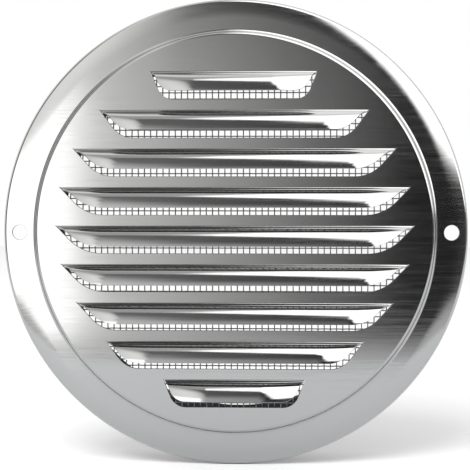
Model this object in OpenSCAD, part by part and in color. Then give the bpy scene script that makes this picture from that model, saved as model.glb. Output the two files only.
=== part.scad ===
// Round louvred wall vent of pressed stainless steel, for a 125 mm duct.
// A dished cover carries nine hooded louvres that are pressed out of its face and open downward.
// A short spigot collar behind it slides into the duct and clamps an insect screen of woven wire
// against the back of the face. Two screws through the flange hold the vent on the wall.
// Origin: where the duct's axis meets the wall. The front looks along -Y and +Z is up. Millimetres.

/* [Cover] */
// Which piece to show
// How far the cover's rim reaches past the collar, all round
cover_overlap = 15.6; // [15:0.1:50]
// Thickness of the cover's sheet
sheet_t = 0.6; // [0.4:0.05:0.8]
// Height of the flange in front of the wall
flange_h = 2; // [1.7:0.1:8]
// Height of the raised face in front of the flange
step_h = 1.8; // [1.5:0.1:5]
// Width of the flange's flat part, between the step and the crown
flange_flat_w = 3.8; // [3:0.1:4.4]
// Width of the crown, where the flange leans back a little towards its rim
crown_w = 5.1; // [3:0.1:8]
// How far the crown leans back where it meets the rim
crown_tilt = 10; // [3:1:16]
// Front radius of the bend at the rim
rim_bend_r = 1.1; // [0.9:0.1:1.4]
// Steepness of the rim that is turned back to the wall
rim_angle = 85; // [60:1:88]
// Front radius of both bends of the step between flange and face
step_r = 1; // [0.8:0.1:1.3]
// Steepness of the step's wall against the face
step_angle = 70; // [50:1:80]
// Distance of the two screw holes, left and right of the face, from the rim
screw_inset = 5.5; // [5:0.1:7]
// Diameter of each screw hole
screw_hole_d = 5; // [3:0.1:7]

/* [Louvres] */
// How many louvres lie one above the other
louvre_count = 9; // [4:1:10]
// Height of the flat bar that is left between two louvres
bar_h = 3.38; // [2.5:0.01:5]
// Clear height between a louvre's lip and the lower edge of the cut it is pressed from
mouth_h = 2.7; // [1.5:0.1:4]
// The ends of the hinge lines lie on an oval: its distance from the collar at the left and right
field_side = 2.15; // [1:0.05:12]
// Distance of the oval from the top of the collar
field_top = 1.9; // [1:0.1:12]
// Distance of the oval from the bottom of the collar
field_bottom = 8.5; // [1:0.1:12]
// Distance of the topmost hinge line from the oval's top
top_hinge_drop = 6.5; // [5:0.1:12]
// Distance of the lowest hinge line from the oval's bottom
low_hinge_rise = 4.66; // [4:0.01:12]
// Slope of a louvre's cut end against its hinge line, at mid height
end_slope = 46; // [35:1:60]
// What the slope has gained at the first and last louvre
end_slope_gain = 22; // [0:1:30]
// Rounding of a louvre's lower corners at mid height
corner_r = 15.5; // [6:0.5:20]
// What that rounding has lost at the first and last louvre
corner_r_loss = 10; // [0:0.5:14]
// Width of the cut between a louvre's end and the face
kerf = 0.15; // [0.1:0.05:0.5]
// Middle radius of the bend at the hinge line
hinge_r = 0.9; // [0.6:0.1:2]
// Steepest slope of the louvre, where the hinge bend passes into the nose
nose_angle = 84; // [50:1:88]
// Middle radius of the rounded nose
nose_r = 4.3; // [3:0.1:6]
// Slope where the nose passes into the skirt
skirt_angle = 16; // [5:1:40]
// Slope at the lip
lip_angle = 3; // [0:1:10]

/* [Spigot collar] */
// Outside diameter of the collar, for a duct of 125
collar_d = 123.8; // [98.8:0.1:125]
// Thickness of the collar's sheet
collar_t = 0.5; // [0.4:0.05:1]
// Length of the collar behind the wall
collar_l = 20; // [10:1:60]
// Room between the step and the collar's front flange, which is spot welded to the face's back
flange_room = 0.7; // [0.3:0.1:1.5]
// Inner radius of the bend between collar and flange
collar_bend_r = 0.3; // [0.1:0.1:1]

/* [Insect screen] */
// Distance from wire to wire
mesh_pitch = 2.06; // [2:0.01:5]
// Thickness of the wire
wire_d = 0.43; // [0.2:0.01:1]
// How far the edge of the collar's flange stands past the screen that it clamps
screen_inset = 0.6; // [0.1:0.1:1]
// Play between pieces that are pressed together
seat_gap = 0.02; // [0.01:0.01:0.1]

/* [Hidden] */
$fn = 96;
steel = [0.78, 0.79, 0.8];
wire_steel = [0.6, 0.61, 0.62];
cut_past = 1;
arc_step = 7;

face_h = flange_h + step_h;
collar_r = collar_d / 2;
rim_r = collar_r + cover_overlap;
screw_spacing = 2 * (rim_r - screw_inset);
crown_r = crown_w / sin(crown_tilt);
rim_bend_z = flange_h - crown_r + (crown_r - rim_bend_r) * cos(crown_tilt);
rim_bend_out = rim_r - rim_bend_r * sin(rim_angle)
    - (rim_bend_z + rim_bend_r * cos(rim_angle)) / tan(rim_angle);
crown_start_r = rim_bend_out - (crown_r - rim_bend_r) * sin(crown_tilt);
step_foot_r = crown_start_r - flange_flat_w;
step_wall = (step_h - 2 * step_r * (1 - cos(step_angle))) / sin(step_angle);
face_r = step_foot_r - 2 * step_r * sin(step_angle) - step_wall * cos(step_angle);
face_back = face_h - sheet_t;
face_mid = face_h - sheet_t / 2;

field_w = collar_d - 2 * field_side;
field_h = collar_d - field_top - field_bottom;
field_rise = (field_bottom - field_top) / 2;
top_hinge_z = collar_r - field_top - top_hinge_drop;
louvre_pitch = (field_h - top_hinge_drop - low_hinge_rise) / (louvre_count - 1);
slot_h = louvre_pitch - bar_h;
lip_drop = slot_h - mouth_h;

nose_s = hinge_r * nose_angle * PI / 180;
nose_z = hinge_r * sin(nose_angle);
nose_d = hinge_r * (1 - cos(nose_angle));
skirt_s = nose_s + nose_r * (nose_angle - skirt_angle) * PI / 180;
skirt_z = nose_z + nose_r * (sin(nose_angle) - sin(skirt_angle));
skirt_d = nose_d + nose_r * (cos(skirt_angle) - cos(nose_angle));
skirt_r = (lip_drop - skirt_z) / (sin(skirt_angle) - sin(lip_angle));
lip_s = skirt_s + skirt_r * (skirt_angle - lip_angle) * PI / 180;
lip_d = skirt_d + skirt_r * (cos(lip_angle) - cos(skirt_angle));

bore_r = collar_r - collar_t;
collar_flange_w = face_r - flange_room - collar_r;
screen_r = collar_r + collar_flange_w - screen_inset;
level_front = face_back - seat_gap;
upright_front = level_front - wire_d - seat_gap;
collar_front = upright_front - wire_d - seat_gap;
wire_gaps = floor((bore_r - mesh_pitch) / mesh_pitch);

// Slope of the louvre's middle line against the face, at the length s from the hinge line
function slope_at(s) =
    s <= nose_s ? s / hinge_r * 180 / PI :
    s <= skirt_s ? nose_angle - (s - nose_s) / nose_r * 180 / PI :
    skirt_angle - (s - skirt_s) / skirt_r * 180 / PI;

// How far the middle line has stood out and dropped there
function out_at(s) =
    s <= nose_s ? hinge_r * (1 - cos(slope_at(s))) :
    s <= skirt_s ? nose_d + nose_r * (cos(slope_at(s)) - cos(nose_angle)) :
    skirt_d + skirt_r * (cos(slope_at(s)) - cos(skirt_angle));
function drop_at(s) =
    s <= nose_s ? hinge_r * sin(slope_at(s)) :
    s <= skirt_s ? nose_z + nose_r * (sin(nose_angle) - sin(slope_at(s))) :
    skirt_z + skirt_r * (sin(skirt_angle) - sin(slope_at(s)));

// A point of the louvre's section beside its middle line, side 1 in front and -1 behind
function section_point(s, side) = [
    -(face_mid + out_at(s) + side * sheet_t / 2 * cos(slope_at(s))),
    -drop_at(s) + side * sheet_t / 2 * sin(slope_at(s))];

// Lengths at which the section is drawn: dense in the hinge bend and nose, wide in the skirt
bend_n = ceil(nose_angle / (2 * arc_step));
nose_n = ceil((nose_angle - skirt_angle) / arc_step);
skirt_n = 3;
section_s = concat(
    [for (i = [0 : bend_n - 1]) nose_s * i / bend_n],
    [for (i = [0 : nose_n - 1]) nose_s + (skirt_s - nose_s) * i / nose_n],
    [for (i = [0 : skirt_n]) skirt_s + (lip_s - skirt_s) * i / skirt_n]);

// Height of hinge line i above the duct's axis, and half its length
function hinge_z(i) = top_hinge_z - i * louvre_pitch;
function hinge_half(i) =
    field_w / 2 * sqrt(1 - pow((hinge_z(i) - field_rise) / (field_h / 2), 2));

// End slope and corner rounding of louvre i grow or shrink with its distance from mid height
function off_mid(i) = abs(2 * i / (louvre_count - 1) - 1);
function slope_of(i) = end_slope + end_slope_gain * pow(off_mid(i), 4);
function corner_of(i) = corner_r - corner_r_loss * pow(off_mid(i), 1.5);

// Half width of cut i at the depth s below its hinge line: straight end, then the rounded corner
function corner_start(i) = slot_h - corner_of(i) * (1 - cos(slope_of(i)));
function half_at(i, s) =
    let(a = slope_of(i), r = corner_of(i), c = corner_start(i), h = hinge_half(i))
    s <= c ? h - s / tan(a) :
    h - c / tan(a) - r * sin(a) + sqrt(max(0, pow(r, 2) - pow(s - slot_h + r, 2)));

// Depths at which that outline is drawn
corner_n = 7;
function outline_s(i) = concat(
    [for (k = [0 : 3]) corner_start(i) * k / 4],
    [for (k = [0 : corner_n])
        slot_h - corner_of(i) * (1 - cos(slope_of(i) * (1 - k / corner_n)))]);

// Both sides of an outline from its right half
function both_sides(p) = concat(p, [for (k = [len(p) - 1 : -1 : 0]) [-p[k][0], p[k][1]]]);

// The cover's section from the middle to the rim as [radius, height in front of the wall], on the
// front (back = 0) or behind it: face, both bends of the step, crown, and the rim turned back
function arc(r, z, rad, a0, a1) =
    let(n = ceil(abs(a1 - a0) / arc_step))
    [for (i = [0 : n]) [r + rad * sin(a0 + (a1 - a0) * i / n), z + rad * cos(a0 + (a1 - a0) * i / n)]];
function cover_line(back) = concat(
    [[0, face_h - back]],
    arc(face_r, face_h - step_r, step_r - back, 0, step_angle),
    arc(step_foot_r, flange_h + step_r, -(step_r + back), step_angle, 0),
    arc(crown_start_r, flange_h - crown_r, crown_r - back, 0, crown_tilt),
    arc(rim_bend_out, rim_bend_z, rim_bend_r - back, crown_tilt, rim_angle),
    [[rim_bend_out + (rim_bend_r - back) * sin(rim_angle)
        + (rim_bend_z + (rim_bend_r - back) * cos(rim_angle)) / tan(rim_angle), 0]]);

// Turns a drawing of [x, z] into a block that reaches from one height to another in front of the wall
module forward(from, to) {
    rotate([90, 0, 0]) translate([0, 0, from]) linear_extrude(height = to - from) children();
}

// The dished blank: a disc pressed with a step and a curved rim
module blank() {
    rotate([90, 0, 0]) rotate_extrude()
        polygon(concat(cover_line(0), [for (i = [len(cover_line(sheet_t)) - 1 : -1 : 0])
            cover_line(sheet_t)[i]]));
}

// The cut in the face below hinge line i
module slot(i) {
    forward(face_back - cut_past, face_h + cut_past) translate([0, hinge_z(i)])
        polygon(both_sides([for (s = outline_s(i)) [half_at(i, s), -s]]));
}

// The hood pressed out of that cut: a rolled strip, trimmed to the cut's outline
module hood(i) {
    h = hinge_half(i);
    translate([0, 0, hinge_z(i)]) intersection() {
        rotate([90, 0, 90]) linear_extrude(height = 2 * h, center = true)
            polygon(concat(
                [[-face_h, sheet_t]],
                [for (s = section_s) section_point(s, 1)],
                [for (k = [len(section_s) - 1 : -1 : 0]) section_point(section_s[k], -1)],
                [[-face_back, sheet_t]]));
        forward(face_back - cut_past, face_h + lip_d + cut_past)
            polygon(both_sides(concat(
                [[h - kerf, sheet_t + cut_past]],
                [for (s = outline_s(i)) [half_at(i, s) - kerf, -drop_at(s * lip_s / slot_h)]],
                [[half_at(i, slot_h) - kerf, -lip_drop - cut_past]])));
    }
}

module louvred_cover() {
    color(steel) difference() {
        union() {
            difference() {
                blank();
                for (i = [0 : louvre_count - 1]) slot(i);
            }
            for (i = [0 : louvre_count - 1]) hood(i);
        }
        for (side = [-1, 1]) translate([side * screw_spacing / 2, 0, 0])
            rotate([90, 0, 0]) cylinder(h = face_h, d = screw_hole_d);
    }
}

// A rolled tube with its front edge turned outward
module spigot_collar() {
    r = collar_bend_r;
    outer = r + collar_t;
    color(steel) rotate([90, 0, 0]) rotate_extrude() {
        translate([bore_r, -collar_l]) square([collar_t, collar_l + collar_front - outer]);
        translate([collar_r + r, collar_front - collar_t])
            square([collar_flange_w - r, collar_t]);
        translate([collar_r + r, collar_front - outer]) intersection() {
            difference() {
                circle(outer);
                circle(r);
            }
            translate([-outer, 0]) square(outer);
        }
    }
}

// One direction of the weave as a flat lattice, with its pressed edge left whole as a ring
module wire_layer() {
    difference() {
        circle(screen_r);
        intersection() {
            circle(bore_r);
            for (i = [-wire_gaps : wire_gaps]) translate([i * mesh_pitch, 0])
                square([mesh_pitch - wire_d, 2 * screen_r], center = true);
        }
    }
}

module screen_upright_wires() {
    color(wire_steel) forward(upright_front - wire_d, upright_front) wire_layer();
}

module screen_level_wires() {
    color(wire_steel) forward(level_front - wire_d, level_front) rotate(90) wire_layer();
}

louvred_cover();
spigot_collar();
screen_upright_wires();
screen_level_wires();
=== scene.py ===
"""Round louvred wall vent of pressed stainless steel for a duct of 125 mm, dressed for its render.

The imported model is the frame: origin where the duct's axis meets the wall, front along -Y, +Z up.
The pieces stand in the order in which the vent is put together. Sizes are in millimetres, as in
the part's own source, and each mesh is turned to metres when it is made.
"""
import math

import bpy
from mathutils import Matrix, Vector
from mathutils.geometry import tessellate_polygon


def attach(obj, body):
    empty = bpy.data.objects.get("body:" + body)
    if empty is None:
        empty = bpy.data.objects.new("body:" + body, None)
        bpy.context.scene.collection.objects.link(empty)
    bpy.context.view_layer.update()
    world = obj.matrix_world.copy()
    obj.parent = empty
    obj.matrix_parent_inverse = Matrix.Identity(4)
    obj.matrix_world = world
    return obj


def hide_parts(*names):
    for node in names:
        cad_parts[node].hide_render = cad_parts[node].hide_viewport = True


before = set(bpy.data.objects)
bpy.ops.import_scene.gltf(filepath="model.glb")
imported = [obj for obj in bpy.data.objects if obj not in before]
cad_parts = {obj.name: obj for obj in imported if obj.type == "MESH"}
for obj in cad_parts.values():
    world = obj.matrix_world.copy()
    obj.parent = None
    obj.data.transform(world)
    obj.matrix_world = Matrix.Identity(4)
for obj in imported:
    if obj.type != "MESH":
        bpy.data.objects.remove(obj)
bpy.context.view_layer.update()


# The louvred cover is one disc of 0.6 mm stainless sheet. A press dishes it, cuts nine slots in its
# face and pushes the sheet of each slot out into a hood that stays joined along its upper edge.
# Two screws through the flange hold it on the wall.
SHEET = 0.6
RIM_R = 77.5
FLANGE_H, STEP_H = 2.0, 1.8
FACE_H = FLANGE_H + STEP_H
STEP_R, STEP_ANGLE = 1.0, 70
FLANGE_FLAT, CROWN_W = 3.8, 5.1
CROWN_TILT = 5          # half of the 10 in the part's source, where the reflections need less
RIM_BEND_R, RIM_ANGLE = 1.1, 85
SCREW_AT, SCREW_HOLE_R = 72.0, 2.5
LOUVRES = 9
COLLAR_R = 61.9
FIELD_SIDE, FIELD_TOP, FIELD_BOTTOM = 2.15, 1.9, 8.5
TOP_HINGE_DROP, LOW_HINGE_RISE = 6.5, 4.66
BAR_H, MOUTH_H = 3.38, 2.7
END_SLOPE, END_SLOPE_GAIN = 46, 22
CORNER_R, CORNER_R_LOSS = 15.5, 10
HINGE_R, NOSE_ANGLE, NOSE_R, SKIRT_ANGLE, LIP_ANGLE = 0.9, 84, 4.3, 16, 3
KERF = 0.42             # between the nominal edges: their rounding takes most of it
END_REACH, END_LEAN = 14.5, 0.38    # the last stretch of a hood leans back towards the face
FRONT_ROUND, BACK_ROUND = 0.12, 0.05    # the punch draws the front edge round, the back stays crisp
ROUND_STEPS = 288


def sin(a):
    return math.sin(math.radians(a))


def cos(a):
    return math.cos(math.radians(a))


crown_r = CROWN_W / sin(CROWN_TILT)
rim_bend_h = FLANGE_H - crown_r + (crown_r - RIM_BEND_R) * cos(CROWN_TILT)
rim_bend_out = (RIM_R - RIM_BEND_R * sin(RIM_ANGLE)
                - (rim_bend_h + RIM_BEND_R * cos(RIM_ANGLE)) * cos(RIM_ANGLE) / sin(RIM_ANGLE))
crown_start_r = rim_bend_out - (crown_r - RIM_BEND_R) * sin(CROWN_TILT)
step_foot_r = crown_start_r - FLANGE_FLAT
step_wall = (STEP_H - 2 * STEP_R * (1 - cos(STEP_ANGLE))) / sin(STEP_ANGLE)
face_r = step_foot_r - 2 * STEP_R * sin(STEP_ANGLE) - step_wall * cos(STEP_ANGLE)

field_half_w = COLLAR_R - FIELD_SIDE
field_half_h = COLLAR_R - (FIELD_TOP + FIELD_BOTTOM) / 2
field_rise = (FIELD_BOTTOM - FIELD_TOP) / 2
top_hinge_z = COLLAR_R - FIELD_TOP - TOP_HINGE_DROP
louvre_pitch = (2 * field_half_h - TOP_HINGE_DROP - LOW_HINGE_RISE) / (LOUVRES - 1)
slot_h = louvre_pitch - BAR_H
lip_drop = slot_h - MOUTH_H

nose_s = math.radians(HINGE_R * NOSE_ANGLE)
nose_z = HINGE_R * sin(NOSE_ANGLE)
nose_out = HINGE_R * (1 - cos(NOSE_ANGLE))
skirt_s = nose_s + math.radians(NOSE_R * (NOSE_ANGLE - SKIRT_ANGLE))
skirt_z = nose_z + NOSE_R * (sin(NOSE_ANGLE) - sin(SKIRT_ANGLE))
skirt_out = nose_out + NOSE_R * (cos(SKIRT_ANGLE) - cos(NOSE_ANGLE))
skirt_r = (lip_drop - skirt_z) / (sin(SKIRT_ANGLE) - sin(LIP_ANGLE))
lip_s = skirt_s + math.radians(skirt_r * (SKIRT_ANGLE - LIP_ANGLE))


def hood_section(s):
    """Where a hood's middle line is after s mm of sheet: how far out of the face, and how far down."""
    if s <= nose_s:
        a = math.degrees(s / HINGE_R)
        return HINGE_R * (1 - cos(a)), HINGE_R * sin(a)
    if s <= skirt_s:
        a = NOSE_ANGLE - math.degrees((s - nose_s) / NOSE_R)
        return (nose_out + NOSE_R * (cos(a) - cos(NOSE_ANGLE)),
                nose_z + NOSE_R * (sin(NOSE_ANGLE) - sin(a)))
    a = SKIRT_ANGLE - math.degrees((s - skirt_s) / skirt_r)
    return (skirt_out + skirt_r * (cos(a) - cos(SKIRT_ANGLE)),
            skirt_z + skirt_r * (sin(SKIRT_ANGLE) - sin(a)))


def hinge_z(i):
    return top_hinge_z - i * louvre_pitch


def hinge_half(i):
    return field_half_w * math.sqrt(1 - ((hinge_z(i) - field_rise) / field_half_h) ** 2)


def slot_corner(i):
    """Slope of slot i's end, radius of its lower corner and the depth at which that corner starts."""
    off_mid = abs(2 * i / (LOUVRES - 1) - 1)
    slope = END_SLOPE + END_SLOPE_GAIN * off_mid ** 4
    radius = CORNER_R - CORNER_R_LOSS * off_mid ** 1.5
    return slope, radius, slot_h - radius * (1 - cos(slope))


def slot_half(i, depth):
    """Half the width of slot i at a depth below its hinge line."""
    slope, radius, start = slot_corner(i)
    half = hinge_half(i) - min(depth, start) * cos(slope) / sin(slope)
    if depth > start:
        half += math.sqrt(max(0, radius ** 2 - (depth - slot_h + radius) ** 2)) - radius * sin(slope)
    return half


def slot_depths(i, straight=6, corner=14):
    """The depths at which slot i's outline is drawn, closer together round its corner."""
    slope, radius, start = slot_corner(i)
    return ([start * k / straight for k in range(straight)]
            + [slot_h - radius * (1 - cos(slope * (1 - k / corner))) for k in range(corner + 1)])


def hood_point(i, x, s):
    """The point of hood i's middle surface x mm from its middle, after s mm of sheet."""
    out, down = hood_section(s)
    past = max(0, abs(x) - hinge_half(i) + END_REACH) / END_REACH
    return Vector((x, -(FACE_H - SHEET / 2 + out * (1 - END_LEAN * past ** 1.5)), hinge_z(i) - down))


class Sheet:
    """The front of a piece of sheet metal: points, their exact normals and the faces between them."""

    def __init__(self):
        self.points, self.normals, self.faces = [], [], []

    def add(self, point, normal):
        self.points.append(Vector(point))
        self.normals.append(Vector(normal).normalized())
        return len(self.points) - 1

    def band(self, row, next_row, closed=False):
        last = len(row) if closed else len(row) - 1
        for k in range(last):
            m = (k + 1) % len(row)
            self.faces.append((row[k], row[m], next_row[m], next_row[k]))

    def fill(self, *loops):
        """Fills the flat area between an outer loop of points and the holes in it."""
        order = [n for loop in loops for n in loop]
        flat = [[Vector((self.points[n].x, self.points[n].z, 0)) for n in loop] for loop in loops]
        self.faces += [tuple(order[k] for k in t) for t in tessellate_polygon(flat)]

    def facing(self, face):
        """The face, wound so that it looks the same way as its points' normals."""
        a, b, c = (self.points[n] for n in (face[0], face[1], face[-1]))
        return face if (b - a).cross(c - a).dot(self.normals[face[0]]) > 0 else face[::-1]

    def thick(self, thickness, front_round, back_round, bend=(30, 60, 90)):
        """Gives the sheet its thickness to the back, with every cut edge rounded."""
        count = len(self.points)
        faces = [self.facing(f) for f in self.faces]
        edges = {}
        for f in faces:
            for a, b in zip(f, f[1:] + f[:1]):
                if (b, a) in edges:
                    del edges[(b, a)]
                else:
                    edges[(a, b)] = True
        outward = {}
        for a, b in edges:
            along = self.points[b] - self.points[a]
            for n in (a, b):
                outward[n] = outward.get(n, Vector()) + along.cross(self.normals[n]).normalized()
        for n in range(count):
            self.add(self.points[n] - thickness * self.normals[n], -self.normals[n])
        faces += [tuple(n + count for n in reversed(f)) for f in faces]
        rows = {}
        for n, out in outward.items():
            point, normal = self.points[n], self.normals[n]
            out = (out - out.dot(normal) * normal).normalized()
            rows[n] = [n]
            for a in bend:
                rows[n].append(self.add(
                    point + front_round * (sin(a) * out - (1 - cos(a)) * normal),
                    cos(a) * normal + sin(a) * out))
            reach = front_round - back_round
            for a in reversed(bend):
                rows[n].append(self.add(
                    point - thickness * normal + reach * out
                    + back_round * (sin(a) * out + (1 - cos(a)) * normal),
                    sin(a) * out - cos(a) * normal))
            rows[n].append(n + count)
        for a, b in edges:
            for k in range(len(rows[a]) - 1):
                faces.append((rows[b][k], rows[a][k], rows[a][k + 1], rows[b][k + 1]))
        self.faces = faces
        return self

    def piece(self, name):
        """The Blender object, in metres, with the exact normals kept on its smooth faces."""
        mesh = bpy.data.meshes.new(name)
        mesh.from_pydata([p / 1000 for p in self.points], [], self.faces)
        mesh.update()
        mesh.shade_smooth()
        mesh.normals_split_custom_set_from_vertices([tuple(n) for n in self.normals])
        obj = bpy.data.objects.new(name, mesh)
        bpy.context.scene.collection.objects.link(obj)
        return obj


def turned(sheet, radius, height, out, up, steps=ROUND_STEPS):
    """A ring of points round the duct's axis, height mm in front of the wall."""
    ring = []
    for k in range(steps):
        a = 360 * k / steps
        ring.append(sheet.add((radius * cos(a), -height, radius * sin(a)),
                              (out * cos(a), -up, out * sin(a))))
    return ring


def arc_profile(radius, height, bend, a0, a1, steps):
    """Points [radius, height, normal out, normal up] of a bend round one centre."""
    angles = [a0 + (a1 - a0) * k / steps for k in range(steps + 1)]
    return [(radius + bend * sin(a), height + bend * cos(a), sin(a), cos(a)) for a in angles]


cover = Sheet()
face_ring = turned(cover, face_r, FACE_H, 0, 1)

slot_loops = []
for i in range(LOUVRES):
    depths = slot_depths(i)
    hood_s = sorted([nose_s * k / 8 for k in range(9)]
                    + [nose_s + (skirt_s - nose_s) * k / 18 for k in range(1, 19)]
                    + [skirt_s + (lip_s - skirt_s) * k / 6 for k in range(1, 6)]
                    + [d * lip_s / slot_h for d in depths[1:]])
    hood_s = [s for k, s in enumerate(hood_s) if k == 0 or s - hood_s[k - 1] > 0.02]
    columns = [math.sin(math.pi / 2 * k / 18) for k in range(-18, 19)]
    hood_rows = []
    for s in hood_s:
        half = slot_half(i, s * slot_h / lip_s) - KERF
        row = []
        for c in columns:
            x, step = c * half, 0.01
            low, high = max(0, s - step), min(lip_s, s + step)
            middle = hood_point(i, x, s)
            across = hood_point(i, x + step, s) - hood_point(i, x - step, s)
            along = hood_point(i, x, high) - hood_point(i, x, low)
            normal = along.cross(across).normalized() if s > 0 else Vector((0, -1, 0))
            if normal.y > 0:
                normal = -normal
            row.append(cover.add(middle + SHEET / 2 * normal, normal))
        hood_rows.append(row)
    for row, next_row in zip(hood_rows, hood_rows[1:]):
        cover.band(row, next_row)

    right = [(slot_half(i, d), hinge_z(i) - d) for d in depths]
    outline = right + [(-x, z) for x, z in reversed(right)]
    slot_loops.append(hood_rows[0] + [cover.add((x, -FACE_H, z), (0, -1, 0)) for x, z in outline])

cover.fill(face_ring, *slot_loops)

step_rows = (arc_profile(face_r, FACE_H - STEP_R, STEP_R, 0, STEP_ANGLE, 10)[1:]
             + [(r, h, out, up) for r, h, out, up in
                arc_profile(step_foot_r, FLANGE_H + STEP_R, -STEP_R, STEP_ANGLE, 0, 10)])
flange_rows = [(step_foot_r + 1.1, FLANGE_H, 0, 1), (step_foot_r + 2.4, FLANGE_H, 0, 1)]
flange_rows += arc_profile(crown_start_r, FLANGE_H - crown_r, crown_r, 0, CROWN_TILT, 5)
rim_rows = arc_profile(rim_bend_out, rim_bend_h, RIM_BEND_R, CROWN_TILT, RIM_ANGLE, 12)[1:]
rim_rows.append((RIM_R - BACK_ROUND, BACK_ROUND, sin(RIM_ANGLE), cos(RIM_ANGLE)))
rings = [face_ring] + [turned(cover, *row) for row in step_rows + flange_rows + rim_rows]

hole_first, hole_last, hole_side = len(step_rows) + 1, len(step_rows) + len(flange_rows) - 1, 4
for j, (ring, next_ring) in enumerate(zip(rings, rings[1:])):
    for k in range(ROUND_STEPS):
        from_hole = min(abs(k + 0.5 - middle) for middle in (0, ROUND_STEPS / 2, ROUND_STEPS))
        if hole_first <= j < hole_last and from_hole < hole_side:
            continue
        m = (k + 1) % ROUND_STEPS
        cover.faces.append((ring[k], ring[m], next_ring[m], next_ring[k]))


def flange_at(radius):
    """Height and tilt of the flange's front at a radius."""
    past = max(0, radius - crown_start_r)
    tilt = math.degrees(math.asin(past / crown_r))
    return FLANGE_H - crown_r * (1 - cos(tilt)), tilt


for side, middle in ((1, 0), (-1, ROUND_STEPS // 2)):
    around = [(middle + k) % ROUND_STEPS for k in range(-hole_side, hole_side + 1)]
    patch = ([rings[hole_first][k] for k in around]
             + [rings[j][around[-1]] for j in range(hole_first + 1, hole_last)]
             + [rings[hole_last][k] for k in reversed(around)]
             + [rings[j][around[0]] for j in range(hole_last - 1, hole_first, -1)])
    hole_rows = []
    for reach in (SCREW_HOLE_R + FRONT_ROUND, SCREW_HOLE_R + 0.5):
        row = []
        for k in range(64):
            x = side * SCREW_AT + reach * cos(360 * k / 64)
            z = reach * sin(360 * k / 64)
            radius = math.hypot(x, z)
            height, tilt = flange_at(radius)
            row.append(cover.add((x, -height, z),
                                 (sin(tilt) * x / radius, -cos(tilt), sin(tilt) * z / radius)))
        hole_rows.append(row)
    cover.band(hole_rows[0], hole_rows[1], closed=True)
    cover.fill(patch, hole_rows[1])

louvred_cover = cover.thick(SHEET, FRONT_ROUND, BACK_ROUND).piece("louvred_cover_sheet")


def paint(code):
    """The colour of an sRGB hex value such as '#c8c9ca', turned to linear."""
    parts = [int(code[k:k + 2], 16) / 255 for k in (1, 3, 5)]
    return [p / 12.92 if p <= 0.04045 else ((p + 0.055) / 1.055) ** 2.4 for p in parts] + [1]


def add_node(material, kind, links=None, **settings):
    """Adds a node. links sets its inputs, by name or number, to a value or to another's output."""
    tree = material.node_tree
    node = tree.nodes.new(kind)
    for name, value in settings.items():
        setattr(node, name, value)
    for name, value in (links or {}).items():
        if isinstance(value, bpy.types.NodeSocket):
            tree.links.new(value, node.inputs[name])
        else:
            node.inputs[name].default_value = value
    return node


def new_material(name):
    material = bpy.data.materials.new(name)
    material.use_nodes = True
    material.node_tree.nodes.clear()
    return material


# Polished stainless sheet, bright as it leaves the press: it mirrors the studio, a little softened
# by the polish. The rolling grain runs across the cover and is about 0.03 mm wide; it is drawn 0.6 mm
# wide, so that it shows at all. The press leaves long shallow waves of a few hundredths of a mm.
polished_stainless = new_material("polished_stainless_sheet")
place = add_node(polished_stainless, "ShaderNodeTexCoord")
along_grain = add_node(polished_stainless, "ShaderNodeMapping",
                       {"Vector": place.outputs["Object"], "Scale": (60, 400, 1600)})
grain = add_node(polished_stainless, "ShaderNodeTexNoise",
                 {"Vector": along_grain.outputs["Vector"], "Scale": 1, "Detail": 3, "Roughness": 0.6})
waves = add_node(polished_stainless, "ShaderNodeTexNoise",
                 {"Vector": place.outputs["Object"], "Scale": 45, "Detail": 1, "Roughness": 0.4})
softness = add_node(polished_stainless, "ShaderNodeMapRange",
                    {"Value": grain.outputs["Fac"], "From Min": 0.3, "From Max": 0.7,
                     "To Min": 0.06, "To Max": 0.12})
pressed = add_node(polished_stainless, "ShaderNodeBump",
                   {"Height": waves.outputs["Fac"], "Strength": 1, "Distance": 0.00004})
rolled = add_node(polished_stainless, "ShaderNodeBump",
                  {"Height": grain.outputs["Fac"], "Normal": pressed.outputs["Normal"],
                   "Strength": 1, "Distance": 0.0000015})
steel = add_node(polished_stainless, "ShaderNodeBsdfPrincipled",
                 {"Base Color": paint("#c6c6c5"), "Metallic": 1,
                  "Roughness": softness.outputs["Result"], "Normal": rolled.outputs["Normal"]})
add_node(polished_stainless, "ShaderNodeOutputMaterial", {"Surface": steel.outputs["BSDF"]})
louvred_cover.data.materials.append(polished_stainless)
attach(louvred_cover, "root")
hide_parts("louvred_cover")


# The insect screen is woven stainless wire, cut round and clamped behind the face by the collar.
# Each wire is crimped over and under those that cross it, so both directions share one plane.
MESH_PITCH, WIRE_R = 2.06, 0.215
SCREEN_R = 64.25
SCREEN_AT = FACE_H - SHEET - 0.02 - 2 * WIRE_R - 0.01
CRIMP = WIRE_R + 0.003
WIRE_SIDES, WIRE_STEPS = 6, 4


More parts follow.
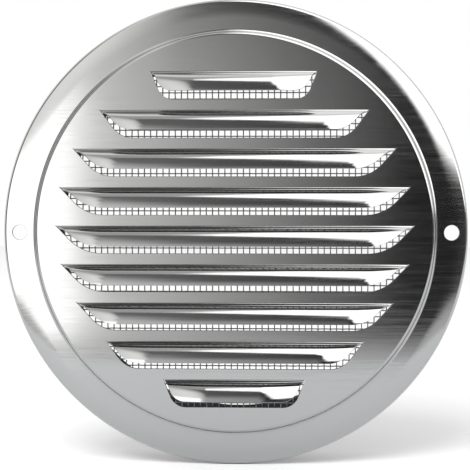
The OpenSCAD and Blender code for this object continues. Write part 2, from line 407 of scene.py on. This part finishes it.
def woven_wires(name, upright):
    """Every wire of one direction of the weave, as crimped round rods."""
    points, faces, normals = [], [], []
    wires = int(SCREEN_R / MESH_PITCH - 0.5) + 1
    for j in range(-wires, wires):
        side = (j + 0.5) * MESH_PITCH
        if abs(side) > SCREEN_R - 1:
            continue
        reach = math.sqrt(SCREEN_R ** 2 - side ** 2)
        steps = 2 * math.ceil(reach / MESH_PITCH * WIRE_STEPS)
        first = len(points)
        for k in range(steps + 1):
            u = -reach + 2 * reach * k / steps
            phase = math.pi * u / MESH_PITCH
            turn = (-1) ** j * (1 if upright else -1)
            off = turn * CRIMP * math.sin(phase)
            slope = turn * CRIMP * math.cos(phase) * math.pi / MESH_PITCH
            long = math.hypot(1, slope)
            for q in range(WIRE_SIDES):
                a = 360 * (q + 0.5) / WIRE_SIDES
                shift_side, shift_off = WIRE_R * cos(a), WIRE_R * sin(a)
                along = u - shift_off * slope / long
                depth = -(SCREEN_AT + off + shift_off / long)
                across = side + shift_side
                normal = (cos(a), -sin(a) / long, -sin(a) * slope / long)
                points.append((across, depth, along) if upright else (along, depth, across))
                normals.append(normal if upright else (normal[2], normal[1], normal[0]))
        for k in range(steps):
            for q in range(WIRE_SIDES):
                a, b = first + k * WIRE_SIDES + q, first + k * WIRE_SIDES + (q + 1) % WIRE_SIDES
                quad = (a, b, b + WIRE_SIDES, a + WIRE_SIDES)
                faces.append(quad if upright else quad[::-1])
        caps = [tuple(range(first, first + WIRE_SIDES)),
                tuple(range(len(points) - WIRE_SIDES, len(points)))]
        faces += [caps[0][::-1], caps[1]] if upright else [caps[0], caps[1][::-1]]
    mesh = bpy.data.meshes.new(name)
    mesh.from_pydata([Vector(p) / 1000 for p in points], [], faces)
    mesh.update()
    mesh.shade_smooth()
    obj = bpy.data.objects.new(name, mesh)
    bpy.context.scene.collection.objects.link(obj)
    return obj


# Drawn stainless wire, dull beside the sheet: the drawing die leaves fine lines along it, and the
# weave and the air that passes have taken its shine. Its tone is painted darker than clean steel,
# a painted shade for the dim space behind the hoods, and it and its softness vary at random.
drawn_wire = new_material("drawn_stainless_wire")
place = add_node(drawn_wire, "ShaderNodeTexCoord")
tarnish = add_node(drawn_wire, "ShaderNodeTexNoise",
                   {"Vector": place.outputs["Object"], "Scale": 900, "Detail": 2, "Roughness": 0.5})
# Both of the ramp's tones are darker than clean stainless, a painted shade; noise picks between them at random.
wire_tone_painted_shade = add_node(drawn_wire, "ShaderNodeValToRGB", {"Fac": tarnish.outputs["Fac"]})
wire_tone_painted_shade.color_ramp.elements[0].color = paint("#6f7072")
wire_tone_painted_shade.color_ramp.elements[1].color = paint("#98999b")
wire_softness = add_node(drawn_wire, "ShaderNodeMapRange",
                         {"Value": tarnish.outputs["Fac"], "To Min": 0.25, "To Max": 0.45})
wire_shader = add_node(drawn_wire, "ShaderNodeBsdfPrincipled",
                       {"Base Color": wire_tone_painted_shade.outputs["Color"], "Metallic": 1,
                        "Roughness": wire_softness.outputs["Result"]})
add_node(drawn_wire, "ShaderNodeOutputMaterial", {"Surface": wire_shader.outputs["BSDF"]})
for name, node, upright in (("woven_upright_wires", "screen_upright_wires", True),
                            ("woven_level_wires", "screen_level_wires", False)):
    wires = woven_wires(name, upright)
    wires.data.materials.append(drawn_wire)
    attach(wires, "root")
    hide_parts(node)


# The spigot collar is a strip of 0.5 mm stainless, rolled to a ring and butt welded, with its front
# edge turned outward. Spot welds through that flange hold it and the screen to the back of the face.
COLLAR_T, COLLAR_L = 0.5, 20.0
COLLAR_FRONT = SCREEN_AT - 2 * WIRE_R - 0.03
COLLAR_FLANGE_R = face_r - 0.7
COLLAR_BEND_R = 0.3
SEAM_AT, SEAM_W, SEAM_H = 270, 1.4, 0.14
WELDS, WELD_R, WELD_DEPTH = 12, 0.85, 0.12
EDGE = 0.1


bore_r = COLLAR_R - COLLAR_T
bend_r = COLLAR_R + COLLAR_BEND_R
bend_at = COLLAR_FRONT - COLLAR_T - COLLAR_BEND_R
flange_back = COLLAR_FRONT - COLLAR_T
weld_ring_r = (COLLAR_FLANGE_R + bend_r) / 2


def collar_bend(radius, height, bend, a0, a1, steps, facing=1):
    return [(radius + bend * sin(a0 + (a1 - a0) * k / steps), height + bend * cos(a0 + (a1 - a0) * k / steps),
             facing * sin(a0 + (a1 - a0) * k / steps), facing * cos(a0 + (a1 - a0) * k / steps))
            for k in range(steps + 1)]


flange_edge_r = COLLAR_FLANGE_R - EDGE
collar_section = (
    collar_bend(bend_r, bend_at, COLLAR_T + COLLAR_BEND_R, -90, 0, 8)
    + collar_bend(flange_edge_r, COLLAR_FRONT - EDGE, EDGE, 0, 90, 3)
    + collar_bend(flange_edge_r, flange_back + EDGE, EDGE, 90, 180, 3)
    + [(flange_edge_r + (bend_r - flange_edge_r) * k / 10, flange_back, 0, -1) for k in range(1, 10)]
    + collar_bend(bend_r, bend_at, COLLAR_BEND_R, 0, -90, 6, facing=-1)
    + collar_bend(COLLAR_R - EDGE, EDGE - COLLAR_L, EDGE, 90, 180, 3)
    + collar_bend(bore_r + EDGE, EDGE - COLLAR_L, EDGE, 180, 270, 3))
weld_angles = [360 * (k + 0.5) / WELDS for k in range(WELDS)]
around = {1.5 * k for k in range(240)}
around |= {round(a + 0.15 * k, 3) for a in weld_angles for k in range(-7, 8)}
around |= {round(SEAM_AT + 0.1 * k, 3) for k in range(-8, 9)}
around = sorted(around)


def collar_point(radius, height, out, up, angle):
    """A point of the collar's skin and its normal, with the seam's bead and the welds' dimples."""
    turn = 0
    seam = math.radians(angle - SEAM_AT) * radius / (SEAM_W / 2)
    if height < bend_at and abs(seam) < 1:
        share = out if out > 0 else out / 2
        radius += share * SEAM_H * (1 + math.cos(math.pi * seam)) / 2
        turn = abs(share) * SEAM_H * math.pi / SEAM_W * math.sin(math.pi * seam)
    if up == -1 and height == flange_back:
        near = min(weld_angles, key=lambda a: abs(a - angle))
        across, along = radius - weld_ring_r, math.radians(angle - near) * radius
        far = math.hypot(across, along) / WELD_R
        if far < 1:
            height += WELD_DEPTH * (1 + math.cos(math.pi * far)) / 2
            steep = -WELD_DEPTH * math.pi / 2 * math.sin(math.pi * far) / WELD_R / max(far * WELD_R, 1e-6)
            out, turn = steep * across, steep * along
    radial = Vector((cos(angle), 0, sin(angle)))
    tangent = Vector((-sin(angle), 0, cos(angle)))
    return (radial * radius + Vector((0, -height, 0)),
            radial * out + tangent * turn + Vector((0, -up, 0)))


collar = Sheet()
collar_rings = [[collar.add(*collar_point(*row, angle)) for angle in around] for row in collar_section]
for ring, next_ring in zip(collar_rings, collar_rings[1:] + collar_rings[:1]):
    collar.band(ring, next_ring, closed=True)
collar.faces = [collar.facing(f) for f in collar.faces]
spigot_collar = collar.piece("rolled_spigot_collar")

# Cold rolled stainless strip with a satin mill finish: it shows a soft, stretched likeness of what is
# round it. Its grain follows the strip and so runs round the collar; drawn about 0.5 mm wide, some
# ten times too coarse, so that it shows. The weld is a little blued and duller.
satin_strip = new_material("satin_rolled_stainless_strip")
place = add_node(satin_strip, "ShaderNodeTexCoord")
axes = add_node(satin_strip, "ShaderNodeSeparateXYZ", {"Vector": place.outputs["Object"]})
turn = add_node(satin_strip, "ShaderNodeMath",
                {0: axes.outputs["X"], 1: axes.outputs["Z"]}, operation="ARCTAN2")
strip_place = add_node(satin_strip, "ShaderNodeCombineXYZ", {"X": turn.outputs[0], "Y": axes.outputs["Y"]})
strip_grain_place = add_node(satin_strip, "ShaderNodeMapping",
                             {"Vector": strip_place.outputs["Vector"], "Scale": (9, 2000, 1)})
strip_grain = add_node(satin_strip, "ShaderNodeTexNoise",
                       {"Vector": strip_grain_place.outputs["Vector"], "Scale": 1, "Detail": 3})
strip_softness = add_node(satin_strip, "ShaderNodeMapRange",
                          {"Value": strip_grain.outputs["Fac"], "From Min": 0.3, "From Max": 0.7,
                           "To Min": 0.16, "To Max": 0.28})
strip_bump = add_node(satin_strip, "ShaderNodeBump",
                      {"Height": strip_grain.outputs["Fac"], "Strength": 1, "Distance": 0.000003})
from_seam = add_node(satin_strip, "ShaderNodeMath", {0: turn.outputs[0]}, operation="ABSOLUTE")
blued = add_node(satin_strip, "ShaderNodeMapRange",
                 {"Value": from_seam.outputs[0], "From Min": math.pi - 2.5 / COLLAR_R,
                  "From Max": math.pi - 0.9 / COLLAR_R, "To Min": 0, "To Max": 1},
                 interpolation_type="SMOOTHSTEP")
strip_tone = add_node(satin_strip, "ShaderNodeValToRGB", {"Fac": blued.outputs["Result"]})
strip_tone.color_ramp.elements[0].color = paint("#bfbfbe")
strip_tone.color_ramp.elements[1].color = paint("#9b9890")
strip_shader = add_node(satin_strip, "ShaderNodeBsdfPrincipled",
                        {"Base Color": strip_tone.outputs["Color"], "Metallic": 1,
                         "Roughness": strip_softness.outputs["Result"],
                         "Normal": strip_bump.outputs["Normal"]})
add_node(satin_strip, "ShaderNodeOutputMaterial", {"Surface": strip_shader.outputs["BSDF"]})
spigot_collar.data.materials.append(satin_strip)
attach(spigot_collar, "root")
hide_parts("spigot_collar")


# The floor is a matt white table top. The vent stands on it on its rim.
FLOOR_HALF = 1500


def flat_plate(name, corners, material):
    mesh = bpy.data.meshes.new(name)
    mesh.from_pydata([Vector(c) / 1000 for c in corners], [], [tuple(range(len(corners)))])
    mesh.update()
    mesh.materials.append(material)
    obj = bpy.data.objects.new(name, mesh)
    bpy.context.scene.collection.objects.link(obj)
    return obj


def matt(name, code):
    """A matt paint, with the faint mottling of a roller."""
    material = new_material(name)
    place = add_node(material, "ShaderNodeTexCoord")
    mottling = add_node(material, "ShaderNodeTexNoise",
                        {"Vector": place.outputs["Object"], "Scale": 300, "Detail": 2})
    bump = add_node(material, "ShaderNodeBump",
                    {"Height": mottling.outputs["Fac"], "Strength": 0.2, "Distance": 0.0001})
    shader = add_node(material, "ShaderNodeBsdfDiffuse",
                      {"Color": paint(code), "Normal": bump.outputs["Normal"]})
    add_node(material, "ShaderNodeOutputMaterial", {"Surface": shader.outputs["BSDF"]})
    return material


floor = flat_plate("floor", [(-FLOOR_HALF, -FLOOR_HALF, -RIM_R), (FLOOR_HALF, -FLOOR_HALF, -RIM_R),
                             (FLOOR_HALF, FLOOR_HALF, -RIM_R), (-FLOOR_HALF, FLOOR_HALF, -RIM_R)],
                   matt("matt_white_table", "#f2f2f2"))

# A grey cloth lies on the table as far as its front edge. Only the steel sees it.
CLOTH_Z = 0.05 - RIM_R
CLOTH_FRONT = -245
cloth = flat_plate("grey_table_cloth", [(-900, CLOTH_FRONT, CLOTH_Z), (900, CLOTH_FRONT, CLOTH_Z),
                                        (900, 1, CLOTH_Z), (-900, 1, CLOTH_Z)],
                   matt("grey_cloth", "#ccced0"))
cloth.visible_camera = cloth.visible_diffuse = cloth.visible_shadow = False
floor.visible_glossy = False


# The light tent round the table: a grey cloth lit by cards of white and grey board, which only the
# steel sees. A direction is given in degrees: az to the right of the front, el above the horizon.
TENT_R = 3000
TENT_STEP = 1.2
TABLE_EDGE = -9.5


def direction(az, el):
    return Vector((sin(az) * cos(el), -cos(az) * cos(el), sin(el)))


def ramp(value, start, end):
    """0 before start, 1 after end, and a smooth rise between."""
    t = min(1, max(0, (value - start) / (end - start)))
    return t * t * (3 - 2 * t)


def card(corners, softness):
    """A flat board given by its corners. Returns how much of it is seen in a direction."""
    corners = [direction(*c) for c in corners]
    middle = sum(corners, Vector())
    sides = [a.cross(b).normalized() for a, b in zip(corners, corners[1:] + corners[:1])]
    sides = [n if n.dot(middle) > 0 else -n for n in sides]
    half = sin(softness) / 2
    return lambda d: math.prod(ramp(n.dot(d), -half, half) for n in sides)


softbox = card([(6.5, 2.6), (-13, 50), (-14, 62), (-4, 82), (80, 80), (70, 2.6)], 1.6)
left_card = card([(-14.4, -45), (-14.4, 5), (-34, 5), (-40, -45)], 2.4)
left_glow = card([(-13, -10), (-13, 22), (-42, 26), (-42, -10)], 16)
top_grey = card([(-60, 40), (-12, 46), (60, 60), (170, 60), (-170, 60), (-90, 45)], 14)


def tent_brightness(d):
    az = math.degrees(math.asin(max(-0.7, min(0.7, d.x))))
    el = math.degrees(math.asin(d.z))
    base = 0.02 + 0.1 * (1 - ramp(az, 0.2, 2.6)) + 0.7 * (max(0, 0.7 - az) / 13.6) ** 1.2 * (1 - ramp(-az, 16, 40))
    base += 0.1 * ramp(az, 6, 30)
    late = max(0, -az - 10)
    base *= 1 - 0.74 * ramp(el, 1 + late, 16 + 6 * late)
    front = max(base, 2.2 * softbox(d), 2 * left_card(d), 1.1 * left_glow(d), 0.5 * top_grey(d))
    away = math.degrees(math.acos(max(-1, min(1, d.y))))      # from straight behind the vent
    back = 0.02 + 1.05 * ramp(away, 32, 55)
    behind = ramp(d.y, -0.35, 0)
    value = front * (1 - behind) + back * behind
    return value if el > TABLE_EDGE else value * behind + 0.6 * (1 - behind)


tent_points, tent_faces = [], []
columns, rows = int(360 / TENT_STEP), int(180 / TENT_STEP)
for j in range(rows + 1):
    tent_points += [direction(TENT_STEP * k, TENT_STEP * j - 90) for k in range(columns)]
for j in range(rows):
    for k in range(columns):
        a, b = j * columns + k, j * columns + (k + 1) % columns
        tent_faces.append((a, b, b + columns, a + columns))
tent_mesh = bpy.data.meshes.new("light_tent")
tent_mesh.from_pydata([p * TENT_R / 1000 for p in tent_points], [], tent_faces)
brightness = tent_mesh.attributes.new("brightness", "FLOAT", "POINT")
brightness.data.foreach_set("value", [tent_brightness(p) for p in tent_points])
tent = bpy.data.objects.new("light_tent", tent_mesh)
bpy.context.scene.collection.objects.link(tent)
tent_panels = new_material("lit_tent_panels")
panel_value = add_node(tent_panels, "ShaderNodeAttribute", attribute_name="brightness")
panel_light = add_node(tent_panels, "ShaderNodeEmission", {"Strength": panel_value.outputs["Fac"]})
add_node(tent_panels, "ShaderNodeOutputMaterial", {"Surface": panel_light.outputs["Emission"]})
tent_mesh.materials.append(tent_panels)
tent.rotation_euler = (math.radians(-1.1), 0, math.radians(2.5))
tent.visible_camera = tent.visible_diffuse = tent.visible_shadow = False
tent.visible_transmission = False


# Plain soft light: the white room itself, and one large lamp over the camera's left shoulder. The
# room is white to the camera and to what mirrors it, and a little dimmer as a light.
ROOM_LIGHT = 0.95
room = bpy.data.worlds.new("white_room")
room.use_nodes = True
room.node_tree.nodes.clear()
rays = add_node(room, "ShaderNodeLightPath")
seen = add_node(room, "ShaderNodeMath", {0: rays.outputs["Is Camera Ray"], 1: rays.outputs["Is Glossy Ray"]},
                operation="MAXIMUM")
seen_or_through = add_node(room, "ShaderNodeMath",
                           {0: seen.outputs[0], 1: rays.outputs["Is Transmission Ray"]},
                           operation="MAXIMUM")
room_strength = add_node(room, "ShaderNodeMapRange",
                         {"Value": seen_or_through.outputs[0], "To Min": ROOM_LIGHT, "To Max": 1})
room_shader = add_node(room, "ShaderNodeBackground",
                       {"Color": (1, 1, 1, 1), "Strength": room_strength.outputs["Result"]})
add_node(room, "ShaderNodeOutputWorld", {"Surface": room_shader.outputs["Background"]})
bpy.context.scene.world = room

lamp = bpy.data.objects.new("soft_lamp", bpy.data.lights.new("soft_lamp", "AREA"))
lamp.data.shape = "SQUARE"
lamp.data.size = 0.8
lamp.data.energy = 14
lamp.location = (-0.35, -0.9, 1.1)
lamp.rotation_euler = (Vector((0, 0, 0)) - lamp.location).to_track_quat("-Z", "Y").to_euler()
lamp.visible_glossy = False
bpy.context.scene.collection.objects.link(lamp)


# The camera looks almost straight at the wall, from a little to the right and above.
CAMERA_AT = (30, -404, 15)
SHIFT_X, SHIFT_Y = -0.1, -0.05
SEEN_W = 156.67     # width of the wall that the picture takes in
VIEW_MIDDLE = (0.11, -0.87)
camera = bpy.data.objects.new("camera", bpy.data.cameras.new("camera"))
camera.data.sensor_width = 36
camera.data.lens = 36 * -CAMERA_AT[1] / SEEN_W
camera.data.shift_x, camera.data.shift_y = SHIFT_X, SHIFT_Y
camera.data.clip_start, camera.data.clip_end = 0.01, 20
camera.location = Vector(CAMERA_AT) / 1000
aim = Vector((VIEW_MIDDLE[0] - SHIFT_X * SEEN_W, 0, VIEW_MIDDLE[1] - SHIFT_Y * SEEN_W)) / 1000
camera.rotation_euler = (aim - camera.location).to_track_quat("-Z", "Y").to_euler()
bpy.context.scene.collection.objects.link(camera)
bpy.context.scene.camera = camera
bpy.context.scene.view_settings.view_transform = "Standard"
